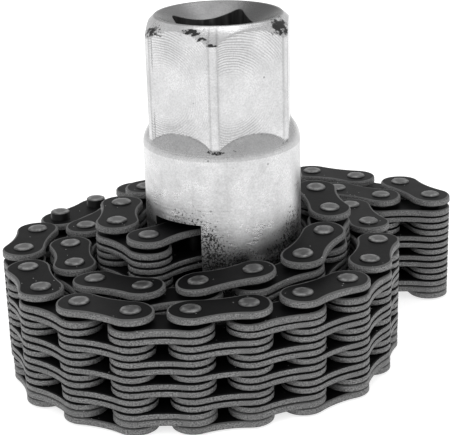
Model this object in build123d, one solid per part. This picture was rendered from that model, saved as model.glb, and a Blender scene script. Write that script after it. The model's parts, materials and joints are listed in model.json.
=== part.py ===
from build123d import *
import math
import os

# Chain oil filter wrench: a steel socket with a square drive and a hexagon head,
# and a black leaf chain that is pinned in a window of the socket's collar.
# Millimetres. +Z is the socket's axis, pointing at the drive end. The origin is the
# centre of the socket's base, on the surface that the wrench stands on.

# Socket
COLLAR_D = 27.4          # round collar at the foot
COLLAR_H = 39.9          # base to the edge of the shoulder
SHOULDER_H = 3.9         # height of the rounded shoulder, up to the middle of a flat
SHOULDER_BULGE = 0.5     # how far the shoulder stands out of a straight cone
HEAD_AF = 23.8           # across the flats of the hexagon
HEAD_CORNER_D = 26.7     # turned diameter over the hexagon's corners
HEAD_TOP_D = 21.8        # flat ring left by the chamfer at the top
CHAMFER_H = 2.8          # height of the rounded chamfer at a corner
CHAMFER_BULGE = 0.18     # how far the chamfer stands out of a straight cone
SOCKET_H = 62.2          # overall height
HEAD_TURN = 25.2         # degrees from +X to a corner of the hexagon
DRIVE_AF = 12.85         # half inch square hole
DRIVE_DEPTH = 17.0
DRIVE_CORNER_R = 0.7
DRIVE_TURN = 19.3        # degrees from +X to a side of the square
SINK_D = 21.0            # mouth of the countersink over the square
SINK_ANGLE = 120.0       # included angle of the countersink
BASE_CHAMFER = 0.8

# Window for the chain's end link, and the pin that holds that link
WINDOW_PLAY = 1.07       # beside the end link
WINDOW_FLOOR = 4.4       # web left below the window
WINDOW_HEADROOM = 1.2    # free height over the end link's pins
WINDOW_DIRECTION = 232.4  # degrees from +X to the window's mouth
ANCHOR_INSET = 8.91      # from a first plate lying against the collar back to the anchor pin
ANCHOR_GRIP = 6.0        # length of pin held in the metal above the window
ANCHOR_RECESS = 0.6      # lower end of the pin, above the base

# Leaf chain
PITCH = 9.525            # three eighths of an inch
PLATE_T = 1.15
PLATE_GAP = 0.177        # free play between neighbouring plates
TOP_GAP = 0.9            # between the top plates and the next, where the rest have slid down
PLATE_H = 7.66           # height of a plate over a pin
WAIST_H = 6.5            # height of a plate half way between its pins
PIN_D = 3.58
PIN_PROUD = 0.36         # pin standing out of the outermost plates
PIN_CHAMFER = 0.22
PIN_CLEARANCE = 0.04     # radial, pin in a plate that turns on it
LAYERS = 15
PIN_LAYERS = (1, 4, 5, 8, 11, 12, 15)
INNER_LAYERS = (2, 3, 6, 7, 9, 10, 13, 14)
LOW_LINK = 35            # its top plate sits lower than on the other links
LOW_DROP = 1.2           # by so much

# How the chain lies. A coil is one list of turns, in degrees to the left, at the pins
# from the first one outside the socket to the last but one. The first strand winds
# clockwise around the collar, the chain is folded once, and it comes back around
# the outside of the coil to its free end.
FIRST_HEADING = 218      # direction of the end link, out of the window
WINDING_IN = [-90, -39, -24, -26, -16, -34, -39, -29, -19, -18, -33, -15,
              -14, -32, -31, -19, -22, -21, -16, -12, -16, -13, -22, -9]
FOLD = [27, 124]
WINDING_OUT = [32, 3, 21, 8, 13, 15, 7, 10, 21, 12, 20, 8, 27, 17,
               25, 12, 11, 13, 26, 14, 19, 11]
END_RISE = 6.4           # height of the end link over the chain on the table
LEVEL_PIN = 16.5         # pin number where the chain has come down to the table
RISEN_PIN = 5.0          # pin number up to which it keeps the end link's height

LAY_PITCH = 9.525        # sizes that the lay above was wound with
LAY_COLLAR_D = 27.4
LAY_PLATE_H = 7.66
LAY_LOOSENED = 1.3       # with any other size it is wound wider, so that its rows stay apart

TURNS = WINDING_IN + FOLD + WINDING_OUT
LINKS = len(TURNS) + 1
LAYER = PLATE_T + PLATE_GAP
STACK = (LAYERS - 1) * LAYER + TOP_GAP - PLATE_GAP + PLATE_T
PIN_L = STACK + 2 * PIN_PROUD
LAY_SCALE = max(PITCH / LAY_PITCH, (COLLAR_D + PLATE_H) / (LAY_COLLAR_D + LAY_PLATE_H),
                PLATE_H / LAY_PLATE_H)
if (PITCH, COLLAR_D, PLATE_H) != (LAY_PITCH, LAY_COLLAR_D, LAY_PLATE_H):
    LAY_SCALE *= LAY_LOOSENED
WINDOW_W = PLATE_H + 2 * WINDOW_PLAY
ANCHOR_R = (COLLAR_D + PLATE_H) / 2 - ANCHOR_INSET
UP = Vector(0, 0, 1)


def polar(radius, degrees):
    """Point at a radius and an angle from +X, in the base plane."""
    return Vector(radius * math.cos(math.radians(degrees)), radius * math.sin(math.radians(degrees)))


def rise_at(pin):
    """Height of a pin's middle over that of the chain on the table, as a soft ramp."""
    t = min(max((LEVEL_PIN - pin) / (LEVEL_PIN - RISEN_PIN), 0), 1)
    return END_RISE * t * t * (3 - 2 * t)


def heading_at(step):
    """Direction of the wound chain after so many links of the lay, in degrees."""
    total = [FIRST_HEADING]
    for turn in TURNS:
        total.append(total[-1] + turn)
    low = min(max(int(step), 0), len(total) - 1)
    high = min(low + 1, len(total) - 1)
    return total[low] + (total[high] - total[low]) * min(max(step - low, 0), 1)


def chain_pins():
    """Middle of every pin, from the anchor to the free end."""
    here = polar(ANCHOR_R, WINDOW_DIRECTION) + UP * (PIN_L / 2 + END_RISE)
    pins = [here]
    step = PITCH / LAY_PITCH / LAY_SCALE
    for link in range(LINKS):
        climb = rise_at(link + 1) - rise_at(link)
        level = math.sqrt(PITCH**2 - climb**2)
        here = here + polar(level, heading_at(link * step)) + UP * climb
        pins.append(here)
    return pins


def link_axes(pins):
    """Direction of the pins through each link: across the link, as upright as it can be."""
    axes = []
    for a, b in zip(pins, pins[1:]):
        along = (b - a).normalized()
        axes.append((UP - along * along.dot(UP)).normalized())
    for i in range(1, LINKS, 2):
        along = (pins[i + 1] - pins[i]).normalized()
        mean = axes[i - 1] + axes[min(i + 1, LINKS - 1)]
        axes[i] = (mean - along * along.dot(mean)).normalized()
    return axes


def plate_outline():
    """Figure of eight: a round end over each pin, joined by hollow flanks."""
    end, waist, half = PLATE_H / 2, WAIST_H / 2, PITCH / 2
    flank = (half**2 + waist**2 - end**2) / (2 * (end - waist))
    share = flank / (end + flank)
    with BuildSketch() as sketch:
        with Locations((-half, 0), (half, 0)):
            Circle(end)
        Rectangle(2 * half * share, 2 * (waist + flank) * (1 - share))
        with Locations((0, waist + flank), (0, -waist - flank)):
            Circle(flank, mode=Mode.SUBTRACT)
    return sketch.sketch


def link_plane(a, b, axis):
    """Plane at the middle of a link, x from pin a to pin b, z along the pins."""
    return Plane(origin=(a + b) * 0.5, x_dir=b - a, z_dir=axis)


def layer_z(layer):
    """Lower face of a layer over the middle of the chain. Layer 1 is the top one."""
    if layer == 1:
        return STACK / 2 - PLATE_T
    return (LAYERS - layer) * LAYER - STACK / 2


def pin_solid(point, axis, low, high):
    """Pin along an axis through a point, with chamfered ends."""
    pin = Cylinder(PIN_D / 2, high - low, align=(Align.CENTER, Align.CENTER, Align.MIN))
    pin = chamfer(pin.edges().filter_by(GeomType.CIRCLE), PIN_CHAMFER)
    return Plane(origin=point + axis * low, z_dir=axis) * pin


def plates(a, b, axis, heights, bores):
    """Plates of one link, by their lower faces. Each bore is a point, an axis and a radius."""
    outline = plate_outline()
    tools = []
    for point, along, radius in bores:
        tools.append(Plane(origin=point, z_dir=along) * Cylinder(radius, 2 * STACK))
    solids = []
    for height in heights:
        blank = extrude(outline, PLATE_T).moved(Location((0, 0, height)))
        plate = link_plane(a, b, axis) * blank
        for tool in tools:
            plate = plate - tool
        solids.append(plate.solid())
    return solids


def pin_link(number, a, b, axis):
    """Link with fixed pins. The first link turns on the anchor pin instead of its own."""
    heights = [layer_z(layer) for layer in PIN_LAYERS]
    if number == LOW_LINK:
        heights[0] -= LOW_DROP
    anchored = number == 1
    near = PIN_D / 2 + (PIN_CLEARANCE if anchored else 0)
    solids = plates(a, b, axis, heights, [(a, axis, near), (b, axis, PIN_D / 2)])
    for point in ([b] if anchored else [a, b]):
        solids.append(pin_solid(point, axis, -PIN_L / 2, PIN_L / 2).solid())
    return Compound(children=solids)


def inner_link(number, a, b, axis, axis_a, axis_b):
    """Link that turns on the pins of its two neighbours."""
    beside_low = abs(number - LOW_LINK) == 1
    heights = [layer_z(layer) for layer in INNER_LAYERS]
    if beside_low:
        heights = heights[1:]
    radius = PIN_D / 2 + PIN_CLEARANCE
    return Compound(children=plates(a, b, axis, heights, [(a, axis_a, radius), (b, axis_b, radius)]))


def turned_profile():
    """Half section of the turned socket blank, from the axis outwards."""
    collar, corner, top = COLLAR_D / 2, HEAD_CORNER_D / 2, HEAD_TOP_D / 2
    shoulder_top = COLLAR_H + SHOULDER_H
    chamfer_foot = SOCKET_H - CHAMFER_H
    middle = ((top + corner) / 2 + CHAMFER_BULGE, SOCKET_H - CHAMFER_H / 2 + CHAMFER_BULGE)
    with BuildSketch(Plane.XZ) as sketch:
        with BuildLine():
            Polyline((0, 0), (collar - BASE_CHAMFER, 0), (collar, BASE_CHAMFER), (collar, shoulder_top),
                     (corner, shoulder_top), (corner, chamfer_foot))
            ThreePointArc((corner, chamfer_foot), middle, (top, SOCKET_H))
            Polyline((top, SOCKET_H), (0, SOCKET_H), (0, 0))
        make_face()
    return sketch.sketch


def shoulder_ring():
    """Ring around the head that is milled away, down to the rounded shoulder."""
    collar, flat = COLLAR_D / 2, HEAD_AF / 2
    top = COLLAR_H + SHOULDER_H
    middle = ((collar + flat) / 2 + SHOULDER_BULGE, COLLAR_H + SHOULDER_H / 2)
    with BuildSketch(Plane.XZ) as sketch:
        with BuildLine():
            ThreePointArc((collar, COLLAR_H), middle, (flat, top))
            Polyline((flat, top), (flat * 0.5, top), (flat * 0.5, SOCKET_H + 1), (collar * 1.5, SOCKET_H + 1),
                     (collar * 1.5, COLLAR_H), (collar, COLLAR_H))
        make_face()
    return revolve(sketch.sketch, Axis.Z)


def socket(chain_top):
    """Socket with its hexagon, square drive, chain window and anchor bore."""
    corner = HEAD_CORNER_D / 2
    body = revolve(turned_profile(), Axis.Z)
    hexagon = extrude(RegularPolygon(HEAD_AF / 2, 6, major_radius=False), SOCKET_H + 1)
    hexagon = hexagon.rotate(Axis.Z, HEAD_TURN - hexagon_corner_angle(hexagon))
    turned = Cylinder(corner, SOCKET_H + 1, align=(Align.CENTER, Align.CENTER, Align.MIN))
    body = body - (shoulder_ring() - (hexagon & turned))

    square = extrude(RectangleRounded(DRIVE_AF, DRIVE_AF, DRIVE_CORNER_R), DRIVE_DEPTH + 1)
    square = square.rotate(Axis.Z, DRIVE_TURN).moved(Location((0, 0, SOCKET_H - DRIVE_DEPTH)))
    sink_h = SINK_D / 2 / math.tan(math.radians(SINK_ANGLE / 2))
    sink = Cone(0.01, SINK_D / 2, sink_h, align=(Align.CENTER, Align.CENTER, Align.MIN))
    body = body - square - sink.moved(Location((0, 0, SOCKET_H - sink_h)))

    roof = chain_top + WINDOW_HEADROOM
    length = corner * 2
    with BuildSketch() as mouth:
        Circle(WINDOW_W / 2)
        with Locations((length / 2, 0)):
            Rectangle(length, WINDOW_W)
    window = extrude(mouth.sketch, roof - WINDOW_FLOOR)
    window = window.rotate(Axis.Z, WINDOW_DIRECTION)
    body = body - window.moved(Location(polar(ANCHOR_R, WINDOW_DIRECTION) + UP * WINDOW_FLOOR))
    return body - anchor_solid(chain_top, 0)


def hexagon_corner_angle(hexagon):
    """Angle of the hexagon's corner nearest to +X, counted from +X."""
    angles = [math.degrees(math.atan2(v.Y, v.X)) for v in hexagon.vertices()]
    return min(angles, key=abs)


def anchor_solid(chain_top, end_chamfer):
    """Anchor pin, from near the base to the metal above the window."""
    top = chain_top + WINDOW_HEADROOM + ANCHOR_GRIP
    pin = Cylinder(PIN_D / 2, top - ANCHOR_RECESS * (end_chamfer > 0),
                   align=(Align.CENTER, Align.CENTER, Align.MIN))
    if end_chamfer:
        pin = chamfer(pin.edges().filter_by(GeomType.CIRCLE), end_chamfer)
        pin = pin.moved(Location((0, 0, ANCHOR_RECESS)))
    return pin.moved(Location(polar(ANCHOR_R, WINDOW_DIRECTION)))


def main():
    os.makedirs("parts", exist_ok=True)
    pins = chain_pins()
    axes = link_axes(pins)
    chain_top = pins[0].Z + PIN_L / 2
    export_step(socket(chain_top), "parts/socket.step")
    export_step(anchor_solid(chain_top, PIN_CHAMFER), "parts/anchor_pin.step")
    for number in range(1, LINKS + 1):
        a, b, axis = pins[number - 1], pins[number], axes[number - 1]
        if number % 2:
            export_step(pin_link(number, a, b, axis), f"parts/pin_link_{number:02d}.step")
        else:
            link = inner_link(number, a, b, axis, axes[number - 2], axes[number])
            export_step(link, f"parts/inner_link_{number:02d}.step")


main()
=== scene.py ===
"""Looks of a chain oil filter wrench, laid out as an add-on around a fixed frame."""

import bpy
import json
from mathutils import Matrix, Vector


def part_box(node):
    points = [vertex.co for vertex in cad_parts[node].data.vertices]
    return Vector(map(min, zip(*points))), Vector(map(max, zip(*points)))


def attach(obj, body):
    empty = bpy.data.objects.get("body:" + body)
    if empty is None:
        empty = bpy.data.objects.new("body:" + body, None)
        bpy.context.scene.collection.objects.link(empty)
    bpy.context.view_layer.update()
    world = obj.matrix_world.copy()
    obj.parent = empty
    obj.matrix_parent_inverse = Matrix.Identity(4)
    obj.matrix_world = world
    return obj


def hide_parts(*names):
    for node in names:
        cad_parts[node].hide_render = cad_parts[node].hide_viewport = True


bl_info = {
    "name": "Chain oil filter wrench",
    "version": (1, 0, 0),
    "blender": (4, 5, 0),
    "location": "View3D > Sidebar > Wrench",
    "description": "Builds the socket and the leaf chain of an oil filter wrench",
    "category": "Object",
}

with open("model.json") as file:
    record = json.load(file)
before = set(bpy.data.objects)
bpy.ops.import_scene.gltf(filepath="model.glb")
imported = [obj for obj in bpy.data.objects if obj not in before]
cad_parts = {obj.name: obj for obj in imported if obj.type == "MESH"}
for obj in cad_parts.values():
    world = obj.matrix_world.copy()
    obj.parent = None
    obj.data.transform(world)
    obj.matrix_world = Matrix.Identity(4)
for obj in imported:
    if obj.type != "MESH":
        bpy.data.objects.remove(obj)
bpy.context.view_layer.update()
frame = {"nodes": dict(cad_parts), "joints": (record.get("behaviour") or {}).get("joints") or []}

import json
import math

import bmesh
import bpy
import numpy as np
from mathutils import Matrix, Vector

MM = 0.001


# ---------------------------------------------------------------- sizes and colours

class WrenchSocketProps(bpy.types.PropertyGroup):
    """Sizes and colours of the socket."""
    collar_d: bpy.props.FloatProperty(
        name="Collar", description="Diameter of the round collar", default=27.4 * MM, unit="LENGTH")
    collar_h: bpy.props.FloatProperty(
        name="Collar height", description="Base to the edge of the shoulder",
        default=39.9 * MM, unit="LENGTH")
    shoulder_h: bpy.props.FloatProperty(
        name="Shoulder", description="Height of the rounded shoulder", default=3.9 * MM, unit="LENGTH")
    head_af: bpy.props.FloatProperty(
        name="Across flats", description="Size of the hexagon", default=23.8 * MM, unit="LENGTH")
    head_corner_d: bpy.props.FloatProperty(
        name="Over corners", description="Turned diameter of the hexagon", default=26.7 * MM, unit="LENGTH")
    head_top_d: bpy.props.FloatProperty(
        name="Top ring", description="Outer diameter of the top ring", default=21.8 * MM, unit="LENGTH")
    head_turn: bpy.props.FloatProperty(
        name="Head turn", description="Direction of a corner of the hexagon",
        default=math.radians(25.2), subtype="ANGLE")
    chamfer_h: bpy.props.FloatProperty(
        name="Chamfer", description="Height of the top chamfer at a corner",
        default=2.8 * MM, unit="LENGTH")
    height: bpy.props.FloatProperty(
        name="Height", description="Overall height of the socket",
        default=float(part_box("socket")[1][2]), unit="LENGTH")
    drive_af: bpy.props.FloatProperty(
        name="Square", description="Size of the square hole", default=12.85 * MM, unit="LENGTH")
    drive_turn: bpy.props.FloatProperty(
        name="Square turn", description="Direction of a side of the square",
        default=math.radians(19.3), subtype="ANGLE")
    drive_depth: bpy.props.FloatProperty(
        name="Square depth", description="Depth of the square hole", default=17.0 * MM, unit="LENGTH")
    sink_d: bpy.props.FloatProperty(
        name="Countersink", description="Mouth of the countersink", default=21.0 * MM, unit="LENGTH")
    sink_angle: bpy.props.FloatProperty(
        name="Countersink angle", description="Included angle of the countersink",
        default=math.radians(120.0), subtype="ANGLE")
    base_chamfer: bpy.props.FloatProperty(
        name="Base chamfer", description="Chamfer around the base", default=0.8 * MM, unit="LENGTH")
    window_w: bpy.props.FloatProperty(
        name="Window", description="Width of the chain's window", default=9.8 * MM, unit="LENGTH")
    window_low: bpy.props.FloatProperty(
        name="Window floor", description="Lower edge of the window", default=4.4 * MM, unit="LENGTH")
    window_high: bpy.props.FloatProperty(
        name="Window roof", description="Upper edge of the window", default=28.771 * MM, unit="LENGTH")
    steel: bpy.props.FloatVectorProperty(
        name="Steel", description="Colour of the plated steel", size=3, subtype="COLOR",
        default=(0.66, 0.66, 0.665))
    # also the dark grey that the painted shade and the painted reflection on the socket mix towards
    grime_and_shade: bpy.props.FloatVectorProperty(
        name="Grime", description="Colour of dirt and bare pits", size=3, subtype="COLOR",
        default=(0.018, 0.018, 0.018))


class WrenchChainProps(bpy.types.PropertyGroup):
    """Sizes and colours of the leaf chain."""
    plate_t: bpy.props.FloatProperty(
        name="Plate", description="Thickness of a plate", default=1.15 * MM, unit="LENGTH")
    layer: bpy.props.FloatProperty(
        name="Layer", description="Distance from one plate to the next", default=1.327 * MM, unit="LENGTH")
    top_gap: bpy.props.FloatProperty(
        name="Top gap", description="Between the top plates and the next", default=0.9 * MM, unit="LENGTH")
    low_drop: bpy.props.FloatProperty(
        name="Low plate", description="How far one top plate sits lower", default=1.2 * MM, unit="LENGTH")
    plate_h: bpy.props.FloatProperty(
        name="Plate height", description="Height of a plate over a pin", default=7.66 * MM, unit="LENGTH")
    waist_h: bpy.props.FloatProperty(
        name="Waist", description="Height of a plate half way along", default=6.5 * MM, unit="LENGTH")
    pin_d: bpy.props.FloatProperty(
        name="Pin", description="Diameter of a pin", default=3.58 * MM, unit="LENGTH")
    pin_l: bpy.props.FloatProperty(
        name="Pin length", description="Length of a pin", default=21.171 * MM, unit="LENGTH")
    edge_round: bpy.props.FloatProperty(
        name="Edge", description="Rounding at the rim of a plate", default=0.14 * MM, unit="LENGTH")
    oxide: bpy.props.FloatVectorProperty(
        name="Oxide", description="Colour of the blackened faces", size=3, subtype="COLOR",
        default=(0.0032, 0.0032, 0.0034))
    cut_edge: bpy.props.FloatVectorProperty(
        name="Cut edge", description="Colour of the stamped edges", size=3, subtype="COLOR",
        default=(0.15, 0.15, 0.15))
    pin_steel: bpy.props.FloatVectorProperty(
        name="Pin steel", description="Colour of the pins' ends", size=3, subtype="COLOR",
        default=(0.10, 0.10, 0.10))


# layers of plates, counted from the top; the low link's top plate sits lower
PIN_LAYERS = (1, 4, 5, 8, 11, 12, 15)
INNER_LAYERS = (2, 3, 6, 7, 9, 10, 13, 14)
LAYERS = 15
LOW_LINK = 35

# grids of the socket: columns over the window's mouth and around the rest, rows by height
MOUTH_COLUMNS = 57
REST_COLUMNS = 322
WALL_ROWS = 40
WALL_DEPTHS = 22
HEAD_ROWS = 120

# small roundings of the socket, in metres
EDGE_ROUND = 0.10 * MM
FOOT_ROUND = 0.12 * MM
RELIEF_ROUND = 0.25 * MM
CHAMFER_BULGE = 0.26 * MM
SHOULDER_BULGE = 0.48 * MM
HOLE_CORNER_REACH = 1.345    # corner of the square hole over half its size
FLOOR_DROP = 1.2 * MM        # depth of the drill's point under the hole

# arcs of the face mill: their middle on each flat, and their spacing, in millimetres
ARC_ACROSS, ARC_HEIGHT, ARC_STEP = -3.5, 50.5, 0.42

# painted reflection: the collar is darkened below these heights, with a speckled edge, in degrees and
# millimetres over the base
REFLECTION_DIRECTIONS = (0, 180, 235, 250, 262, 272, 285, 300, 315, 328, 360)
REFLECTION_HEIGHTS = (24, 24, 31, 31, 29, 26, 23, 23.5, 26, 30, 24)


# ---------------------------------------------------------------- mesh helpers

def new_piece(name, verts, faces, materials, face_material=None, smooth=None, uvs=None, values=None):
    """Object from arrays of points (metres) and faces, placed at the origin."""
    mesh = bpy.data.meshes.new(name)
    mesh.from_pydata(verts, [], faces)
    for material in materials:
        mesh.materials.append(material)
    count = len(mesh.polygons)
    if face_material is not None:
        mesh.polygons.foreach_set("material_index", np.asarray(face_material, np.int32))
    flags = np.ones(count, bool) if smooth is None else np.asarray(smooth, bool)
    mesh.polygons.foreach_set("use_smooth", flags)
    if uvs is not None:
        layer = mesh.uv_layers.new(name="surface")
        corner = np.empty(len(mesh.loops), np.int32)
        mesh.loops.foreach_get("vertex_index", corner)
        layer.uv.foreach_set("vector", np.asarray(uvs)[corner].astype(np.float32).ravel())
    for key, array in (values or {}).items():
        mesh.attributes.new(key, "FLOAT", "POINT").data.foreach_set("value", np.asarray(array, np.float32))
    mesh.update()
    piece = bpy.data.objects.new(name, mesh)
    bpy.context.scene.collection.objects.link(piece)
    return piece


def strip_faces(rows, columns, wrap):
    """Quads of a grid of points, row after row; the last column meets the first if it wraps."""
    r = np.arange(rows - 1)[:, None]
    c = np.arange(columns if wrap else columns - 1)[None, :]
    d = (c + 1) % columns
    quads = np.stack([r * columns + c, r * columns + d, (r + 1) * columns + d, (r + 1) * columns + c], -1)
    return quads.reshape(-1, 4)


def frame_axes(start, end, axis):
    """Right-handed axes of a link: along it, across it and along its pins."""
    along = (end - start) / np.linalg.norm(end - start)
    across = np.cross(axis, along)
    return np.stack([along, across, axis])


# ---------------------------------------------------------------- materials

class Shader:
    """Small helper that lays out nodes of one material."""

    def __init__(self, name):
        self.material = bpy.data.materials.get(name) or bpy.data.materials.new(name)
        self.material.use_nodes = True
        self.tree = self.material.node_tree
        self.tree.nodes.clear()
        self.out = self.tree.nodes.new("ShaderNodeOutputMaterial")
        self.bsdf = self.tree.nodes.new("ShaderNodeBsdfPrincipled")
        self.tree.links.new(self.bsdf.outputs[0], self.out.inputs[0])

    def link(self, source, target):
        self.tree.links.new(source, target)

    def feed(self, socket, value):
        """Sets a socket to a constant, or links it to another socket."""
        if hasattr(value, "links"):
            self.link(value, socket)
        elif value is not None:
            socket.default_value = value

    def node(self, kind, **settings):
        node = self.tree.nodes.new(kind)
        for key, value in settings.items():
            setattr(node, key, value)
        return node

    def coords(self):
        return self.node("ShaderNodeTexCoord").outputs["Object"]

    def uv(self):
        return self.node("ShaderNodeUVMap", uv_map="surface").outputs[0]

    def value(self, name):
        return self.node("ShaderNodeAttribute", attribute_name=name).outputs["Fac"]

    def math(self, operation, a, b=None, c=None, clamp=False):
        node = self.node("ShaderNodeMath", operation=operation, use_clamp=clamp)
        for socket, value in zip(node.inputs, (a, b, c)):
            self.feed(socket, value)
        return node.outputs[0]

    def stretch(self, vector, scale):
        node = self.node("ShaderNodeMapping")
        self.link(vector, node.inputs["Vector"])
        node.inputs["Scale"].default_value = scale
        return node.outputs[0]

    def noise(self, vector, scale, detail=3.0, rough=0.55):
        node = self.node("ShaderNodeTexNoise")
        self.link(vector, node.inputs["Vector"])
        node.inputs["Scale"].default_value = scale
        node.inputs["Detail"].default_value = detail
        node.inputs["Roughness"].default_value = rough
        return node.outputs["Fac"]

    def specks(self, vector, scale, size, chance):
        """Round specks: cells of a Voronoi pattern, of which only a few carry one."""
        node = self.node("ShaderNodeTexVoronoi")
        self.link(vector, node.inputs["Vector"])
        node.inputs["Scale"].default_value = scale
        near = self.math("LESS_THAN", node.outputs["Distance"], size)
        split = self.node("ShaderNodeSeparateColor")
        self.link(node.outputs["Color"], split.inputs[0])
        return self.math("MULTIPLY", near, self.math("LESS_THAN", split.outputs[0], chance))

    def ramp(self, fac, low, high, start, end):
        """Maps a value from low..high to start..end, and holds the ends."""
        node = self.node("ShaderNodeMapRange", clamp=True)
        self.feed(node.inputs["Value"], fac)
        for key, value in (("From Min", low), ("From Max", high), ("To Min", start), ("To Max", end)):
            self.feed(node.inputs[key], value)
        return node.outputs[0]

    def mix(self, fac, a, b):
        node = self.node("ShaderNodeMix", data_type="RGBA")
        self.feed(node.inputs[0], fac)
        self.feed(node.inputs[6], a)
        self.feed(node.inputs[7], b)
        return node.outputs[2]

    def bump(self, height, distance, strength=1.0, normal=None):
        node = self.node("ShaderNodeBump")
        node.inputs["Strength"].default_value = strength
        node.inputs["Distance"].default_value = distance
        self.link(height, node.inputs["Height"])
        if normal is not None:
            self.link(normal, node.inputs["Normal"])
        return node.outputs[0]

    def finish(self, color, metallic, rough, normal=None, specular=0.5):
        self.feed(self.bsdf.inputs["Base Color"], color)
        self.bsdf.inputs["Specular IOR Level"].default_value = specular
        self.feed(self.bsdf.inputs["Metallic"], metallic)
        self.feed(self.bsdf.inputs["Roughness"], rough)
        if normal is not None:
            self.link(normal, self.bsdf.inputs["Normal"])
        return self.material


def rgb(color, gain=1.0):
    """Colour with its alpha, scaled by a gain."""
    return (color[0] * gain, color[1] * gain, color[2] * gain, 1.0)


def oxide_face(props):
    """Blackened plate face: satin oxide with faint mottling, dust specks and scuffs."""
    s = Shader("plate_face")
    uv = s.uv()
    cloud = s.noise(uv, 0.35, 4.0)
    grain = s.noise(uv, 9.0, 2.0)
    dust = s.specks(uv, 0.9, 0.075, 0.30)
    lint = s.specks(s.stretch(uv, (1.0, 2.2, 1.0)), 0.5, 0.07, 0.16)
    scuff = s.ramp(s.noise(s.stretch(uv, (0.25, 3.0, 1.0)), 1.3, 5.0), 0.66, 0.74, 0.0, 0.35)
    base = s.mix(cloud, rgb(props.oxide, 0.8), rgb(props.oxide, 1.35))
    base = s.mix(s.math("MULTIPLY", scuff, grain), base, rgb(props.oxide, 4.5))
    base = s.mix(s.ramp(s.value("rim"), 0.6, 1.0, 0.0, 0.55), base, rgb(props.cut_edge, 1.1))
    marks = s.math("MAXIMUM", s.math("MULTIPLY", dust, 0.9), s.math("MULTIPLY", lint, 0.7))
    base = s.mix(marks, base, rgb(props.cut_edge, 3.0))
    rough = s.ramp(s.math("ADD", cloud, s.value("tone")), 0.2, 1.6, 0.40, 0.58)
    normal = s.bump(grain, 0.012 * MM, 0.5)
    normal = s.bump(s.noise(uv, 1.1, 2.0), 0.03 * MM, 0.4, normal)
    return s.finish(base, 0.0, rough, normal, 0.08)


def cut_edge(props):
    """Stamped edge: a grey granular break, smoother where the punch went in, with bright burr specks and
    painted shade on its rounded rims.
    """
    s = Shader("plate_edge")
    uv = s.uv()
    depth = s.value("depth")
    grain = s.noise(s.stretch(uv, (1.0, 1.4, 1.0)), 3.2, 3.0, 0.7)
    fine = s.noise(uv, 9.0, 2.0)
    broad = s.noise(s.stretch(uv, (0.3, 1.0, 1.0)), 0.6, 2.0)
    base = s.mix(s.ramp(grain, 0.36, 0.64, 0.0, 1.0), rgb(props.cut_edge, 0.22), rgb(props.cut_edge, 1.75))
    base = s.mix(s.ramp(broad, 0.35, 0.75, 0.0, 0.55), base, rgb(props.cut_edge, 0.55))
    rim_shade_and_burr = s.ramp(s.math("ABSOLUTE", s.math("SUBTRACT", depth, 0.5)), 0.33, 0.47, 0.0, 1.0)
    # painted shade: the rounded rims of the edge, where the next plates sit close, mixed almost to the
    # oxide colour
    base = s.mix(s.ramp(rim_shade_and_burr, 0.0, 1.0, 0.0, 0.95), base, rgb(props.oxide, 1.5))
    burr = s.math("MULTIPLY", rim_shade_and_burr, s.ramp(fine, 0.56, 0.66, 0.0, 0.9))
    base = s.mix(burr, base, rgb(props.cut_edge, 2.6))
    rough = s.ramp(grain, 0.3, 0.7, 0.62, 0.46)
    normal = s.bump(grain, 0.06 * MM, 0.8)
    normal = s.bump(fine, 0.02 * MM, 0.5, normal)
    return s.finish(base, 0.15, rough, normal, 0.35)


def pin_end(props):
    """Pin end: worn grey steel with peening marks and a brighter rim."""
    s = Shader("pin_end")
    uv = s.uv()
    cloud = s.noise(uv, 0.9, 4.0)
    hatch = s.noise(s.stretch(uv, (5.0, 0.6, 1.0)), 1.0, 3.0)
    patches = s.ramp(cloud, 0.35, 0.65, 0.0, 1.0)
    base = s.mix(patches, rgb(props.pin_steel, 0.55), rgb(props.pin_steel, 1.25))
    base = s.mix(s.ramp(hatch, 0.5, 0.7, 0.0, 0.5), base, rgb(props.pin_steel, 0.4))
    bright = s.math("MULTIPLY", s.value("rim"), s.ramp(cloud, 0.4, 0.6, 0.1, 1.0))
    base = s.mix(bright, base, rgb(props.pin_steel, 2.6))
    normal = s.bump(s.noise(uv, 2.5, 4.0), 0.05 * MM, 0.7)
    return s.finish(base, 0.7, s.ramp(cloud, 0.3, 0.7, 0.32, 0.5), normal)


def shaded_pin_side(props):
    """Side of a pin between the plates: near-black steel, painted shade of the gaps between the plates."""
    s = Shader("shaded_pin_side")
    cloud = s.noise(s.coords(), 900.0, 3.0)
    # painted shade: the pin's side kept near-black, as the gaps between the plates are
    base = s.mix(cloud, rgb(props.oxide, 0.7), rgb(props.oxide, 2.2))
    return s.finish(base, 0.7, 0.4, s.bump(cloud, 0.02 * MM, 0.5))


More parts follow.
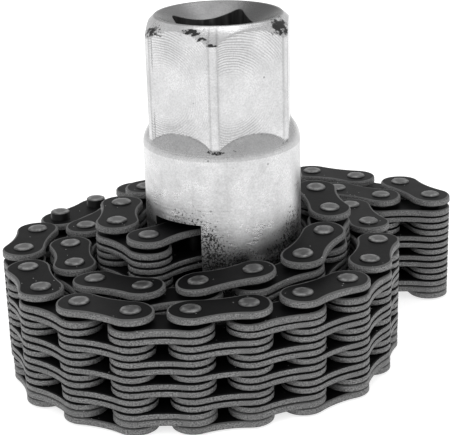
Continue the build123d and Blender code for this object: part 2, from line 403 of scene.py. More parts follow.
def plated_steel(props):
    """Plated socket: milled arcs on the flats, turned lines on the round parts, dark pits and patches,
    painted shade, and a painted reflection on the collar's foot.
    """
    s = Shader("plated_steel")
    uv, coords = s.uv(), s.coords()
    flat = s.value("flat")
    patches_and_reflection = s.value("patches_and_reflection")
    split = s.node("ShaderNodeSeparateXYZ")
    s.link(uv, split.inputs[0])
    # arcs of the face mill: rings about a point low on each flat, bent a little by noise
    wobble = s.math("MULTIPLY", s.math("SUBTRACT", s.noise(uv, 0.12, 2.0), 0.5), 1.6)
    dx = s.math("SUBTRACT", s.value("across"), ARC_ACROSS)
    dy = s.math("SUBTRACT", split.outputs[1], ARC_HEIGHT)
    far = s.math("SQRT", s.math("ADD", s.math("MULTIPLY", dx, dx), s.math("MULTIPLY", dy, dy)))
    rings = s.math("SINE", s.math("MULTIPLY", s.math("ADD", far, wobble), 2 * math.pi / ARC_STEP))
    strong = s.ramp(s.noise(uv, 0.10, 2.0), 0.35, 0.62, 0.25, 1.0)
    strong = s.math("MULTIPLY", strong, s.ramp(far, 3.0, 6.0, 0.0, 1.0))
    rings = s.math("MULTIPLY", s.math("MULTIPLY", rings, strong), flat)
    turned = s.noise(s.stretch(uv, (0.02, 5.0, 1.0)), 1.0, 3.0)
    turned = s.math("MULTIPLY", turned, s.math("SUBTRACT", 1.0, flat))
    mottle = s.noise(coords, 260.0, 5.0, 0.6)
    fine = s.noise(coords, 2600.0, 2.0)
    streak = s.noise(s.stretch(coords, (1.0, 1.0, 0.12)), 700.0, 3.0)
    base = s.mix(s.ramp(mottle, 0.35, 0.7, 0.0, 1.0), rgb(props.steel, 1.03), rgb(props.steel, 0.92))
    base = s.mix(s.ramp(streak, 0.6, 0.8, 0.0, 0.25), base, rgb(props.steel, 0.55))
    pits = s.specks(coords, 420.0, 0.085, 0.20)
    base = s.mix(s.math("MULTIPLY", pits, 0.6), base, rgb(props.steel, 0.25))
    lines = s.math("MULTIPLY", s.ramp(rings, 0.0, 0.8, 0.0, 0.42), strong)
    base = s.mix(lines, base, rgb(props.steel, 0.62))
    smudge = s.ramp(s.math("MULTIPLY", s.noise(coords, 120.0, 5.0, 0.65), s.math("SUBTRACT", 1.0, flat)),
                    0.52, 0.70, 0.0, 0.5)
    base = s.mix(smudge, base, rgb(props.steel, 0.5))
    grainy = s.ramp(s.noise(coords, 3400.0, 3.0, 0.7), 0.36, 0.62, 0.30, 0.0)
    base = s.mix(grainy, base, rgb(props.steel, 0.35))
    # painted shade: the plating mixed towards a dark grey by the shade value
    base = s.mix(s.value("shade"), base, rgb(props.grime_and_shade, 2.0))
    # dark patches, and the painted reflection on the collar's foot, given a ragged and grainy edge by noise
    coarse = s.noise(s.stretch(coords, (1.0, 1.0, 1.6)), 750.0, 5.0, 0.75)
    ragged = s.mix(s.value("round"), coarse, s.noise(coords, 2400.0, 3.0, 0.75))
    ragged = s.math("MULTIPLY", s.math("SUBTRACT", ragged, 0.5), 2.4)
    dark_patches_and_reflection = s.ramp(s.math("ADD", patches_and_reflection, ragged), 0.50, 0.66, 0.0, 0.95)
    base = s.mix(dark_patches_and_reflection, base, rgb(props.grime_and_shade))
    rough = s.ramp(mottle, 0.3, 0.7, 0.22, 0.36)
    rough = s.math("ADD", rough, s.math("MULTIPLY", dark_patches_and_reflection, 0.25))
    normal = s.bump(rings, 0.02 * MM, 1.0)
    normal = s.bump(turned, 0.03 * MM, 0.7, normal)
    normal = s.bump(s.math("MULTIPLY", fine, s.math("SUBTRACT", 1.5, flat)), 0.016 * MM, 0.9, normal)
    normal = s.bump(mottle, 0.03 * MM, 0.25, normal)
    return s.finish(base, 1.0, rough, normal)


def hole_shade_steel(props):
    """Near-black steel with lighter streaks in the square hole and the window's walls: painted shade of
    these recesses.
    """
    s = Shader("hole_shade_steel")
    coords = s.coords()
    streak = s.noise(s.stretch(coords, (1.0, 1.0, 0.1)), 900.0, 3.0)
    # painted shade of the recesses: near-black with lighter streaks
    base = s.mix(s.ramp(streak, 0.4, 0.7, 0.0, 1.0), rgb(props.grime_and_shade, 0.8), rgb(props.grime_and_shade, 3.0))
    return s.finish(base, 0.4, 0.5, s.bump(streak, 0.03 * MM, 0.6))


# ---------------------------------------------------------------- socket

def soft_min(a, b, k):
    """Smaller of two arrays, rounded over a width k where they meet."""
    h = np.clip(0.5 + 0.5 * (b - a) / k, 0, 1)
    return b + (a - b) * h - k * h * (1 - h)


def soft_max(a, b, k):
    """Larger of two arrays, rounded over a width k where they meet."""
    return -soft_min(-a, -b, k)


def arc_radius(z, low, high, bulge):
    """Radius at a height on a rounded cone from one (radius, z) to another: a line plus a parabola."""
    t = np.clip((z - low[1]) / (high[1] - low[1]), 0, 1)
    return low[0] + (high[0] - low[0]) * t + 4 * bulge * t * (1 - t)


def socket_radii(p, angle, z):
    """Outer radius of the socket at an angle and a height, in metres.

    Collar below the shoulder; above it the larger of the shoulder and the hexagon, where the
    hexagon is the smallest of its flat, its turned corner and the top chamfer.
    """
    turn = np.mod(angle - p.head_turn, math.pi / 3) - math.pi / 6
    flat = p.head_af / 2 / np.cos(turn)
    corner = p.head_corner_d / 2
    chamfer = arc_radius(z, (corner, p.height - p.chamfer_h), (p.head_top_d / 2, p.height),
                         CHAMFER_BULGE)
    chamfer = np.where(z < p.height - p.chamfer_h, corner, chamfer)
    head = soft_min(soft_min(flat, np.full_like(flat, corner), EDGE_ROUND), chamfer, EDGE_ROUND)
    collar = p.collar_d / 2
    shoulder_top = p.collar_h + p.shoulder_h
    shoulder = arc_radius(z, (collar, p.collar_h), (p.head_af / 2, shoulder_top), SHOULDER_BULGE)
    shoulder = np.where(z > shoulder_top, p.head_af / 2 - (z - shoulder_top) * 3, shoulder)
    base = collar - np.clip(p.base_chamfer - z, 0, None)
    upper = np.minimum(soft_max(head, shoulder, FOOT_ROUND), collar)
    return np.where(z > p.collar_h, upper, base), flat, head, shoulder


def socket_grid(p):
    """Angles and heights of the socket's outer grid. The window's edges lie on grid lines."""
    window = frame_window()
    half = math.asin(p.window_w / p.collar_d)
    mouth = np.linspace(window - half, window + half, MOUTH_COLUMNS)
    rest = np.linspace(window + half, window - half + 2 * math.pi, REST_COLUMNS)[1:-1]
    angles = np.concatenate([mouth, rest])
    below = np.linspace(p.base_chamfer, p.window_low, 6)
    beside = np.linspace(p.window_low, p.window_high, WALL_ROWS)[1:]
    above = np.linspace(p.window_high, p.collar_h, 16)[1:]
    head = np.linspace(p.collar_h, p.height, HEAD_ROWS)[1:]
    heights = np.concatenate([[0.0], below, beside, above, head])
    return angles, heights


def frame_window():
    """Direction of the window: from the socket's axis to the anchor pin."""
    low, high = (np.array(corner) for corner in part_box("anchor_pin"))
    middle = (low + high) / 2
    return math.atan2(middle[1], middle[0])


def square_radius(p, angle):
    """Radius of the square hole at an angle, with small reliefs in its corners."""
    turn = np.mod(angle - p.drive_turn + math.pi / 4, math.pi / 2) - math.pi / 4
    side = p.drive_af / 2 / np.cos(turn)
    return soft_min(side, np.full_like(side, p.drive_af / 2 * HOLE_CORNER_REACH), RELIEF_ROUND)


def socket_outside(p):
    """Outer skin of the socket: one grid of angle by height, less the window."""
    angles, heights = socket_grid(p)
    a, z = np.meshgrid(angles, heights)
    r, flat, head, shoulder = socket_radii(p, a, z)
    points = np.stack([r * np.cos(a), r * np.sin(a), z], -1)
    faces = strip_faces(len(heights), len(angles), True)
    column = faces[:, 0] % len(angles)
    row = faces[:, 0] // len(angles)
    low = int(np.argmin(abs(heights - p.window_low)))
    high = int(np.argmin(abs(heights - p.window_high)))
    inside = (column < MOUTH_COLUMNS - 1) & (row >= low) & (row < high)
    on_head = (z > p.collar_h) & (head >= shoulder)
    on_flat = on_head & (flat < p.head_corner_d / 2 - 0.01 * MM) & (abs(head - flat) < 0.06 * MM)
    turn = np.mod(a - p.head_turn, math.pi / 3) - math.pi / 6
    side = np.floor((a - p.head_turn) / (math.pi / 3))
    u = np.where(on_head, r * np.sin(turn) / MM + 40 * side, p.collar_d / 2 * a / MM)
    v = z / MM
    patches_and_reflection = socket_patches_and_reflection(p, a, z)
    across = np.where(on_head, r * np.sin(turn) / MM, 0.0)
    shade = socket_shade(p, z, flat, head, shoulder)
    return points.reshape(-1, 3), faces[~inside], np.stack([u, v], -1).reshape(-1, 2), \
        on_flat.astype(float).ravel(), patches_and_reflection.ravel(), across.ravel(), shade.ravel()


def socket_patches_and_reflection(p, a, z):
    """Where the plating is darkened: patches on the chamfer and at the foot of two corners, and a painted
    reflection over the collar's foot.
    """
    def patch(direction, height, wide, tall):
        turn = np.mod(a - math.radians(direction) + math.pi, 2 * math.pi) - math.pi
        return np.exp(-(turn * 13 * MM / wide) ** 2 - ((z - height) / tall) ** 2)
    top = p.height
    patches_and_reflection = 0.80 * patch(250, top - 0.9 * MM, 2.6 * MM, 0.75 * MM)
    patches_and_reflection = np.maximum(patches_and_reflection, 0.74 * patch(256, top - 1.9 * MM, 2.0 * MM, 0.5 * MM))
    patches_and_reflection = np.maximum(patches_and_reflection, 0.80 * patch(265, top - 2.75 * MM, 1.3 * MM, 0.35 * MM))
    patches_and_reflection = np.maximum(patches_and_reflection, 0.95 * patch(325, top - 1.2 * MM, 3.4 * MM, 1.5 * MM))
    patches_and_reflection = np.maximum(patches_and_reflection, 0.72 * patch(210, top - 1.6 * MM, 3.0 * MM, 1.3 * MM))
    patches_and_reflection = np.maximum(patches_and_reflection, 0.62 * patch(265, p.collar_h + 1.8 * MM, 3.2 * MM, 0.6 * MM))
    patches_and_reflection = np.maximum(patches_and_reflection, 0.45 * patch(322, p.collar_h + 1.6 * MM, 1.8 * MM, 1.2 * MM))
    # painted reflection: the collar darker towards its foot, up to a limit given at a few directions
    limit = np.interp(np.mod(np.degrees(a), 360), REFLECTION_DIRECTIONS, REFLECTION_HEIGHTS) * MM
    return np.maximum(patches_and_reflection, 0.62 / (1 + np.exp(np.clip((z - limit) / (1.5 * MM), -30, 30))))


def socket_shade(p, z, flat, head, shoulder):
    """How far the plating is darkened, from 0 to 1: the top ring darker, and painted shade on the shoulder
    and in thin lines along every edge.
    """
    corner = p.head_corner_d / 2
    above = z > p.collar_h
    shade = 0.6 * (z > p.height - 0.02 * MM)
    # painted shade on the shoulder under the hexagon
    shade = np.maximum(shade, 0.24 * (above & (head < shoulder)))
    # painted shade in thin dark lines: at the foot of the flats and along the edges of the corner lands
    foot = above * np.exp(-((head - shoulder) / (0.10 * MM)) ** 2)
    land = above * (head > shoulder) * np.exp(-((flat - corner) / (0.10 * MM)) ** 2)
    return np.maximum(shade, np.maximum(0.45 * foot, 0.30 * land))


def socket_inside(p, angles):
    """Skin from the top ring down the countersink and the square hole, and the closed hole's floor.

    One grid of angle by step: at each height the radius is the larger of the cone and the square.
    """
    slope = math.tan(p.sink_angle / 2)
    floor = p.height - p.drive_depth
    cone_foot = p.height - (p.sink_d / 2 - p.drive_af / 2) / slope
    steps = np.concatenate([np.linspace(p.height, cone_foot, 36), np.linspace(cone_foot, floor, 14)[1:]])
    a, z = np.meshgrid(angles, steps)
    cone = p.sink_d / 2 - (p.height - z) * slope
    square = square_radius(p, a)
    r = soft_max(square, cone, EDGE_ROUND)
    rings = [np.stack([r * np.cos(a), r * np.sin(a), z], -1)]
    for share in (0.6, 0.25, 0.0):
        ring = square_radius(p, angles) * share
        drop = floor - (1 - share) * FLOOR_DROP
        level = np.full(len(angles), drop)
        rings.append(np.stack([ring * np.cos(angles), ring * np.sin(angles), level], -1)[None])
    points = np.concatenate(rings)
    rows = len(points)
    flat = np.zeros((rows, len(angles)))
    in_hole = np.concatenate([(square >= cone), np.ones((3, len(angles)), bool)])
    u = np.broadcast_to(angles * 8, (rows, len(angles)))
    v = points[..., 2] / MM
    return points.reshape(-1, 3), strip_faces(rows, len(angles), True), \
        np.stack([u, v], -1).reshape(-1, 2), flat.ravel(), in_hole.ravel()


def window_walls(p):
    """Inner faces of the window: a U-shaped wall, its roof and its floor.

    The wall is the U carried straight down. Roof and floor are grids across the window by depth,
    from the collar's circle, x = sqrt(R^2 - y^2), to the round end, x = hub - sqrt(w^2 - y^2).
    """
    direction = frame_window()
    low, high = (np.array(corner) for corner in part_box("anchor_pin"))
    hub = np.hypot(*((low + high) / 2)[:2])
    half = p.window_w / 2
    spread = p.collar_d / 2 * np.sin(np.linspace(-1, 1, MOUTH_COLUMNS) * math.asin(p.window_w / p.collar_d))
    outer = np.sqrt((p.collar_d / 2) ** 2 - spread ** 2)
    inner = hub - np.sqrt(np.clip(half ** 2 - spread ** 2, 0, None))
    verts, faces = [], []
    depth = np.linspace(0, 1, WALL_DEPTHS)[:, None]
    side = WALL_DEPTHS - 1
    sheets = []
    for z, flip in ((p.window_high, False), (p.window_low, True)):
        x = outer + (inner - outer) * depth
        y = np.broadcast_to(spread, x.shape)
        sheets.append((np.stack([x, y, np.full_like(x, z)], -1), flip))
    rim_x = np.concatenate([outer[0] + (inner[0] - outer[0]) * depth[:-1, 0], inner,
                            (outer[-1] + (inner[-1] - outer[-1]) * depth[:-1, 0])[::-1]])
    rim_y = np.concatenate([np.full(side, spread[0]), spread, np.full(side, spread[-1])])
    wall_z = np.linspace(p.window_low, p.window_high, WALL_ROWS)[:, None]
    shape = (WALL_ROWS, len(rim_x))
    wall = np.stack([np.broadcast_to(rim_x, shape), np.broadcast_to(rim_y, shape),
                     np.broadcast_to(wall_z, shape)], -1)
    sheets.append((wall, False))
    total = 0
    for grid, flip in sheets:
        quads = strip_faces(grid.shape[0], grid.shape[1], False)
        faces.append((quads[:, ::-1] if flip else quads) + total)
        verts.append(grid.reshape(-1, 3))
        total += grid.shape[0] * grid.shape[1]
    verts = np.concatenate(verts)
    c, s = math.cos(direction), math.sin(direction)
    x, y, z = verts.T
    return np.stack([x * c - y * s, x * s + y * c, z], -1), np.concatenate(faces)


def build_socket(p):
    """Socket as one closed skin: outside, top ring and hole, base, and the window's walls."""
    angles, heights = socket_grid(p)
    outer, outer_faces, outer_uv, flat, patches_and_reflection, across, shade = socket_outside(p)
    inner, inner_faces, inner_uv, inner_flat, in_hole = socket_inside(p, angles)
    count = len(angles)
    start = len(outer)
    top = np.arange(count) + (len(heights) - 1) * count
    mouth = np.arange(count) + start
    ring = np.stack([top, np.roll(top, -1), np.roll(mouth, -1), mouth], -1)
    base_r = (p.collar_d / 2 - p.base_chamfer) * np.array([1.0, 0.6, 0.3, 0.0])
    base = np.stack([base_r[:, None] * np.cos(angles), base_r[:, None] * np.sin(angles),
                     np.zeros((4, count))], -1).reshape(-1, 3)
    base_faces = strip_faces(4, count, True)[:, ::-1] + start + len(inner)
    walls, wall_faces = window_walls(p)
    wall_start = start + len(inner) + len(base)
    verts = np.concatenate([outer, inner, base, walls])
    uv = np.concatenate([outer_uv, inner_uv, base[:, :2] / MM, walls[:, :2] / MM])
    flat = np.concatenate([flat, inner_flat, np.zeros(len(base) + len(walls))])
    hidden = len(inner) + len(base) + len(walls)
    patches_and_reflection = np.concatenate([patches_and_reflection, np.full(hidden, 0.1)])
    across = np.concatenate([across, np.zeros(hidden)])
    # painted shade: the countersink darkened, most on the side towards 330 degrees
    sink_shade = 0.83 + 0.13 * np.cos(np.arctan2(inner[:, 1], inner[:, 0]) - math.radians(330))
    shade = np.concatenate([shade, sink_shade, np.zeros(len(base) + len(walls))])
    faces = np.concatenate([outer_faces, inner_faces + start, ring, base_faces, wall_faces + wall_start])
    # painted shade: the square hole and the window's walls take the near-black hole steel
    dark = np.concatenate([np.zeros(len(outer_faces), bool), in_hole[inner_faces].all(1),
                           np.zeros(count + len(base_faces), bool), np.ones(len(wall_faces), bool)])
    piece = new_piece("socket_body", verts, faces.tolist(), [plated_steel(p), hole_shade_steel(p)], dark, uvs=uv,
                      values={"flat": flat, "patches_and_reflection": patches_and_reflection, "shade": shade, "across": across,
                              "round": (verts[:, 2] < p.collar_h).astype(float)})
    weld_and_turn_out(piece, 0.004 * MM)
    sharpen(piece, math.radians(48))
    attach(piece, "socket")
    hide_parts("socket")
    return piece


def weld_and_turn_out(piece, distance):
    """Merges the seams of a closed skin and points its faces outwards."""
    work = bmesh.new()
    work.from_mesh(piece.data)
    bmesh.ops.remove_doubles(work, verts=work.verts, dist=distance)
    bmesh.ops.recalc_face_normals(work, faces=work.faces)
    bmesh.ops.delete(work, geom=[v for v in work.verts if not v.link_faces], context="VERTS")
    work.to_mesh(piece.data)
    work.free()


def sharpen(piece, angle):
    """Keeps the shading crisp over edges steeper than an angle."""
    piece.data.set_sharp_from_angle(angle=angle)


# ---------------------------------------------------------------- chain

def chain_places():
    """Middle of every pin and the pins' direction in every link, from the frame's joints.

    The free end's pin mirrors the last joint in the middle of the last link.
    """
    joints = frame["joints"]
    pins = [np.array(joint["pos_m"], float) for joint in joints]
    low, high = (np.array(corner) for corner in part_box(link_node(len(pins))))
    pins.append(low + high - pins[-1])
    links = len(pins) - 1
    axes = [None] * links
    for i in range(0, links, 2):
        axes[i] = np.array(joints[min(i + 1, links - 1)]["axis"], float)
    for i in range(1, links, 2):
        along = (pins[i + 1] - pins[i]) / np.linalg.norm(pins[i + 1] - pins[i])
        mean = axes[i - 1] + axes[min(i + 1, links - 1)]
        mean = mean - along * along.dot(mean)
        axes[i] = mean / np.linalg.norm(mean)
    return np.array(pins), np.array(axes)


def link_node(number):
    """Name of a link's CAD node. Odd links carry the pins."""
    return f"pin_link_{number:02d}" if number % 2 else f"inner_link_{number:02d}"


def plate_curve(p, pitch, count):
    """Outline of a plate from four arcs: round ends, and hollow flanks tangent to them.

    Points are spaced evenly by angle within each arc. Returned with the outward direction.
    """
    end, waist, half = p.plate_h / 2, p.waist_h / 2, pitch / 2
    flank = (half ** 2 + waist ** 2 - end ** 2) / (2 * (end - waist))
    lean = math.atan2(waist + flank, half)
    n_end, n_flank = count
    t = np.linspace(-(math.pi - lean), math.pi - lean, n_end, endpoint=False)
    right = np.stack([half + end * np.cos(t), end * np.sin(t)], -1)
    right_out = np.stack([np.cos(t), np.sin(t)], -1)
    s = np.linspace(-lean, lean - math.pi, n_flank, endpoint=False)
    top = np.stack([flank * np.cos(s), waist + flank + flank * np.sin(s)], -1)
    top_out = -np.stack([np.cos(s), np.sin(s)], -1)
    outline = np.concatenate([right, top, -right, -top])
    outward = np.concatenate([right_out, top_out, -right_out, -top_out])
    return outline, outward


def edge_profile(p, fine):
    """Section of a plate's edge from its lower to its upper rim, as (inset, height) pairs.

    The upper rim is rolled over by the punch; the lower one keeps a small burr.
    """
    t, r = p.plate_t, p.edge_round
    if fine:
        return np.array([[2.6 * r, 0.0], [0.9 * r, 0.0], [0.15 * r, 0.45 * r], [0.0, 1.2 * r],
                         [0.3 * r, 0.5 * t], [0.25 * r, t - 2.2 * r], [0.75 * r, t - 0.8 * r],
                         [1.6 * r, t - 0.15 * r], [2.8 * r, t]])
    return np.array([[r, 0.0], [0.0, 0.8 * r], [0.0, t - 1.2 * r], [1.3 * r, t]])


def plate_mesh(p, pitch, layer_low, fine, rng, jitter):
    """One plate in the link's own axes: its outline carried around its edge section, and two faces.

    Returns points, faces, face kinds (0 face, 1 edge), map, rim and depth values.
    """
    count = (26, 9) if fine else (11, 5)
    outline, outward = plate_curve(p, pitch, count)
    profile = edge_profile(p, fine)
    n, m = len(outline), len(profile)
    wave = 1 + 0.25 * np.sin(np.linspace(0, 2 * math.pi * 5, n, endpoint=False) + rng.uniform(0, 6))
    inset = profile[:, :1] * np.ones(n) * (wave if fine else 1.0)
    xy = outline[None] - outward[None] * inset[..., None]
    z = np.broadcast_to(profile[:, 1:2], (m, n)) + layer_low + jitter[2]
    ring = np.concatenate([xy + jitter[:2], z[..., None]], -1)
    length = np.concatenate([[0], np.cumsum(np.linalg.norm(np.diff(outline, axis=0), axis=1))])
    offset = rng.uniform(0, 90, 2)
    edge_uv = np.stack([np.broadcast_to(length, (m, n)), np.broadcast_to(profile[:, 1:2], (m, n))], -1) / MM
    points = [ring.reshape(-1, 3)]
    uvs = [edge_uv.reshape(-1, 2) + offset]
    rim = np.full(m * n, 1.0 if fine else 0.0)
    depth = np.repeat(profile[:, 1] / p.plate_t, n)
    faces = strip_faces(m, n, True).tolist()
    rolled = (m - 3) * n if fine else (m - 2) * n
    kinds = [1] * rolled + [0] * (len(faces) - rolled)
    total = m * n
    # flat faces: a copy of each rim ring and, on fine plates, one more ring before the middle
    for side, source in ((1, m - 1), (-1, 0)):
        rings = [ring[source]]
        shares = (1.0, 0.0) if fine else (0.0,)
        if fine:
            inner = ring[source].copy()
            inner[:, :2] -= outward * 0.10 * MM
            rings.append(inner)
        block = np.concatenate(rings)
        points.append(block)
        uvs.append(block[:, :2] / MM + offset + 31 * side)
        rim = np.concatenate([rim, np.repeat(shares, n)])
        depth = np.concatenate([depth, np.full(len(block), 0.5 + 0.5 * side)])
        if fine:
            quads = strip_faces(2, n, True) + total
            quads = quads[:, ::-1] if side < 0 else quads
            faces += quads.tolist()
            kinds += [0] * len(quads)
        cap = (np.arange(n) + total + (n if fine else 0)).tolist()
        faces.append(cap if side > 0 else cap[::-1])
        kinds.append(0)
        total += len(block)
    return np.concatenate(points), faces, kinds, np.concatenate(uvs), rim, depth


def pin_mesh(p, where, rng, low, high):
    """One pin: a profile of (radius, height) turned about its axis, with slightly domed, peened ends."""
    n = 18
    r = p.pin_d / 2
    end = np.array([[r, -0.23], [r - 0.05 * MM, -0.13], [r - 0.14 * MM, -0.06],
                    [r - 0.5 * MM, -0.02], [0.4 * r, 0.0]])
    end[:, 1] *= MM
    foot = end[::-1] * [1, -1]
    profile = np.concatenate([foot + [0, low], end + [0, high]])
    rows = len(profile)
    t = np.linspace(0, 2 * math.pi, n, endpoint=False) + rng.uniform(0, 6)
    peen = 1 - 0.07 * rng.random(n)
    radius = profile[:, :1] * np.where(abs(profile[:, 1:2]) > high - 0.2 * MM, peen, 1.0)
    xy = np.stack([radius * np.cos(t), radius * np.sin(t)], -1) + where
    z = np.broadcast_to(profile[:, 1:2], radius.shape)
    points = np.concatenate([xy, z[..., None]], -1)
    faces = strip_faces(rows, n, True).tolist()
    kinds = [3 if i // n == 4 else 2 for i in range(len(faces))]
    faces += [list(range(n))[::-1], list(range((rows - 1) * n, rows * n))]
    kinds += [2, 2]
    uv = (points[..., :2] - where) / MM + rng.uniform(0, 90, 2)
    rim = np.zeros((len(profile), n))
    rim[[1, 2, 7, 8]] = 0.8
    return points.reshape(-1, 3), faces, kinds, uv.reshape(-1, 2), rim.ravel(), np.zeros(rim.size)


def layer_height(p, layer):
    """Lower face of a layer over the middle of the chain. Layer 1, the top one, stands off."""
    stack = (LAYERS - 1) * p.layer + p.plate_t + p.top_gap - (p.layer - p.plate_t)
    if layer == 1:
        return stack / 2 - p.plate_t
    return (LAYERS - layer) * p.layer - stack / 2


def build_link(p, number, pins, axes, materials):
    """One link: its plates at their layers and, on odd links, its pins, turned to where it lies."""
    rng = np.random.default_rng(1000 + number)
    start, end, axis = pins[number - 1], pins[number], axes[number - 1]
    pitch = float(np.linalg.norm(end - start))
    odd = number % 2 == 1
    layers = PIN_LAYERS if odd else INNER_LAYERS
    if abs(number - LOW_LINK) == 1:
        layers = layers[1:]
    parts = []
    for place, layer in enumerate(layers):
        low = layer_height(p, layer) - (p.low_drop if number == LOW_LINK and layer == 1 else 0.0)
        sink = 0.0 if odd else rng.uniform(-0.07, 0.07) * MM
        sway = rng.uniform(-0.02, 0.02, 2) * MM
        parts.append(plate_mesh(p, pitch, low, place in (0, len(layers) - 1), rng, np.array([*sway, sink])))
    if odd:
        ends = (end,) if number == 1 else (start, end)
        for point in ends:
            x = -pitch / 2 if point is start else pitch / 2
            parts.append(pin_mesh(p, np.array([x, 0.0]), rng, -p.pin_l / 2, p.pin_l / 2))
    verts, faces, kinds, uvs, rim, depth, total = [], [], [], [], [], [], 0
    for points, quads, kind, uv, rims, depths in parts:
        verts.append(points)
        faces += [[i + total for i in face] for face in quads]
        kinds += kind
        uvs.append(uv)
        rim.append(rims)
        depth.append(depths)
        total += len(points)
    local = np.concatenate(verts)
    world = local @ frame_axes(start, end, axis) + (start + end) / 2
    kinds = np.array(kinds)
    values = {"rim": np.concatenate(rim), "depth": np.concatenate(depth),
              "tone": np.full(len(local), rng.random())}
    smooth = np.ones(len(faces), bool)
    smooth[kinds == 0] = False
    piece = new_piece(f"chain_link_{number:02d}", world, faces, materials, kinds, smooth,
                      np.concatenate(uvs), values)
    weld_and_turn_out(piece, 0.0005 * MM)
    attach(piece, f"link_{number:02d}")
    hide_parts(link_node(number))
    return piece


def build_links(p, odd):
    """All links of one kind."""
    pins, axes = chain_places()
    materials = [oxide_face(p), cut_edge(p), pin_end(p), shaded_pin_side(p)]
    for number in range(1, len(pins)):
        if (number % 2 == 1) == odd:
            build_link(p, number, pins, axes, materials)


# ---------------------------------------------------------------- stage

def area_light(name, place, target, size, power):
    """Rectangular lamp at a place, turned towards a target."""
    light = bpy.data.lights.new(name, "AREA")
    light.shape = "RECTANGLE"
    light.size, light.size_y = size
    light.energy = power
    lamp = bpy.data.objects.new(name, light)
    bpy.context.scene.collection.objects.link(lamp)
    lamp.location = place
    lamp.rotation_euler = (Vector(target) - Vector(place)).to_track_quat("-Z", "Y").to_euler()
    return lamp


def build_stage():
    """Pale floor, soft studio light, and the camera in front of and above the wrench."""
    s = Shader("stage_floor")
    s.finish((0.50, 0.50, 0.50, 1.0), 0.0, 0.9, specular=0.0)
    s.bsdf.inputs["Emission Color"].default_value = (1.0, 1.0, 1.0, 1.0)
    s.bsdf.inputs["Emission Strength"].default_value = 0.74
    size = 2.5
    mesh = bpy.data.meshes.new("stage_floor")
    corners = [(-size, -size, 0), (size, -size, 0), (size, size, 0), (-size, size, 0)]
    mesh.from_pydata(corners, [], [(0, 1, 2, 3)])
    mesh.materials.append(s.material)
    floor = bpy.data.objects.new("stage_floor", mesh)
    bpy.context.scene.collection.objects.link(floor)

    world = bpy.context.scene.world or bpy.data.worlds.new("studio")
    bpy.context.scene.world = world
    bpy.context.scene.view_settings.view_transform = "Standard"
    world.use_nodes = True
    world.node_tree.nodes["Background"].inputs[0].default_value = (1.0, 1.0, 1.0, 1.0)
    world.node_tree.nodes["Background"].inputs[1].default_value = 0.80

    key = area_light("key", (-0.35, -0.45, 0.55), (0, 0, 0.03), (0.35, 0.35), 1.6)
    key.visible_glossy = False
    area_light("top", (0.05, 0.15, 0.70), (0, 0, 0.02), (0.5, 0.5), 1.2)
    fill = area_light("fill", (0.50, -0.30, 0.30), (0, 0, 0.03), (0.3, 0.4), 0.5)
    fill.visible_glossy = False

    # in front of the wrench, looking down by the pitch and leaning by the roll, both in radians
    pitch, roll = 0.3509, -0.0278
    forward = Vector((0, math.cos(pitch), -math.sin(pitch)))
    upward = Vector((0, math.sin(pitch), math.cos(pitch)))
    right = Vector((1, 0, 0))
    side = math.cos(roll) * right + math.sin(roll) * upward
    rise = -math.sin(roll) * right + math.cos(roll) * upward
    camera_data = bpy.data.cameras.new("camera")
    camera_data.sensor_width = 36.0
    camera_data.lens = 107.68
    camera_data.clip_start = 0.01
    camera = bpy.data.objects.new("camera", camera_data)
    bpy.context.scene.collection.objects.link(camera)
    turn = Matrix((side, rise, -forward)).transposed()
    camera.matrix_world = Matrix.Translation((0.00018, -0.22535, 0.10782)) @ turn.to_4x4()
    bpy.context.scene.camera = camera


# ---------------------------------------------------------------- operators and panel

class WRENCH_OT_stage(bpy.types.Operator):
    """Make the floor, the lights and the camera"""
    bl_idname = "wrench.stage"
    bl_label = "Stage"

    def execute(self, context):
        build_stage()
        return {"FINISHED"}


class WRENCH_OT_socket(bpy.types.Operator):
    """Make the socket with its hexagon, square hole and window"""
    bl_idname = "wrench.socket"
    bl_label = "Socket"

    def execute(self, context):
        build_socket(context.scene.wrench_socket)
        return {"FINISHED"}


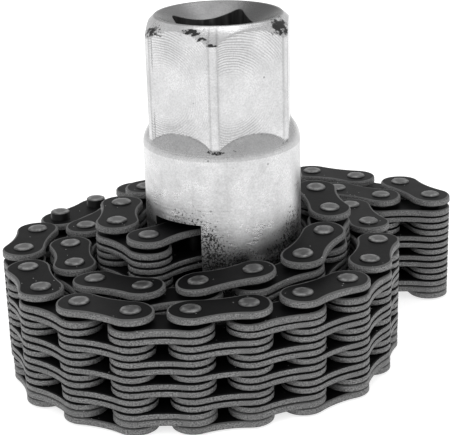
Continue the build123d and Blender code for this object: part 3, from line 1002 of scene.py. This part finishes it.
class WRENCH_OT_anchor(bpy.types.Operator):
    """Give the anchor pin the near-black steel of the pins' sides"""
    bl_idname = "wrench.anchor"
    bl_label = "Anchor pin"

    def execute(self, context):
        node = frame["nodes"]["anchor_pin"]
        material = shaded_pin_side(context.scene.wrench_chain)
        for slot in node.material_slots:
            slot.material = material
        return {"FINISHED"}


class WRENCH_OT_pin_links(bpy.types.Operator):
    """Make the outer links of the chain, which carry the pins"""
    bl_idname = "wrench.pin_links"
    bl_label = "Pin links"

    def execute(self, context):
        build_links(context.scene.wrench_chain, True)
        return {"FINISHED"}


class WRENCH_OT_inner_links(bpy.types.Operator):
    """Make the inner links of the chain"""
    bl_idname = "wrench.inner_links"
    bl_label = "Inner links"

    def execute(self, context):
        build_links(context.scene.wrench_chain, False)
        return {"FINISHED"}


OPERATORS = (WRENCH_OT_stage, WRENCH_OT_socket, WRENCH_OT_anchor,
             WRENCH_OT_pin_links, WRENCH_OT_inner_links)


class WRENCH_PT_panel(bpy.types.Panel):
    """Buttons and sizes of the wrench"""
    bl_idname = "WRENCH_PT_panel"
    bl_label = "Oil filter wrench"
    bl_space_type = "VIEW_3D"
    bl_region_type = "UI"
    bl_category = "Wrench"

    def draw(self, context):
        for operator in OPERATORS:
            self.layout.operator(operator.bl_idname)
        for group in (context.scene.wrench_socket, context.scene.wrench_chain):
            box = self.layout.box()
            for key in group.__annotations__:
                box.prop(group, key)


CLASSES = (WrenchSocketProps, WrenchChainProps, *OPERATORS, WRENCH_PT_panel)


def register():
    for cls in CLASSES:
        bpy.utils.register_class(cls)
    bpy.types.Scene.wrench_socket = bpy.props.PointerProperty(type=WrenchSocketProps)
    bpy.types.Scene.wrench_chain = bpy.props.PointerProperty(type=WrenchChainProps)


def unregister():
    del bpy.types.Scene.wrench_chain
    del bpy.types.Scene.wrench_socket
    for cls in reversed(CLASSES):
        bpy.utils.unregister_class(cls)


def main():
    register()
    bpy.ops.wrench.stage()
    bpy.ops.wrench.socket()
    bpy.ops.wrench.anchor()
    bpy.ops.wrench.pin_links()
    bpy.ops.wrench.inner_links()


if __name__ == "__main__":
    main()
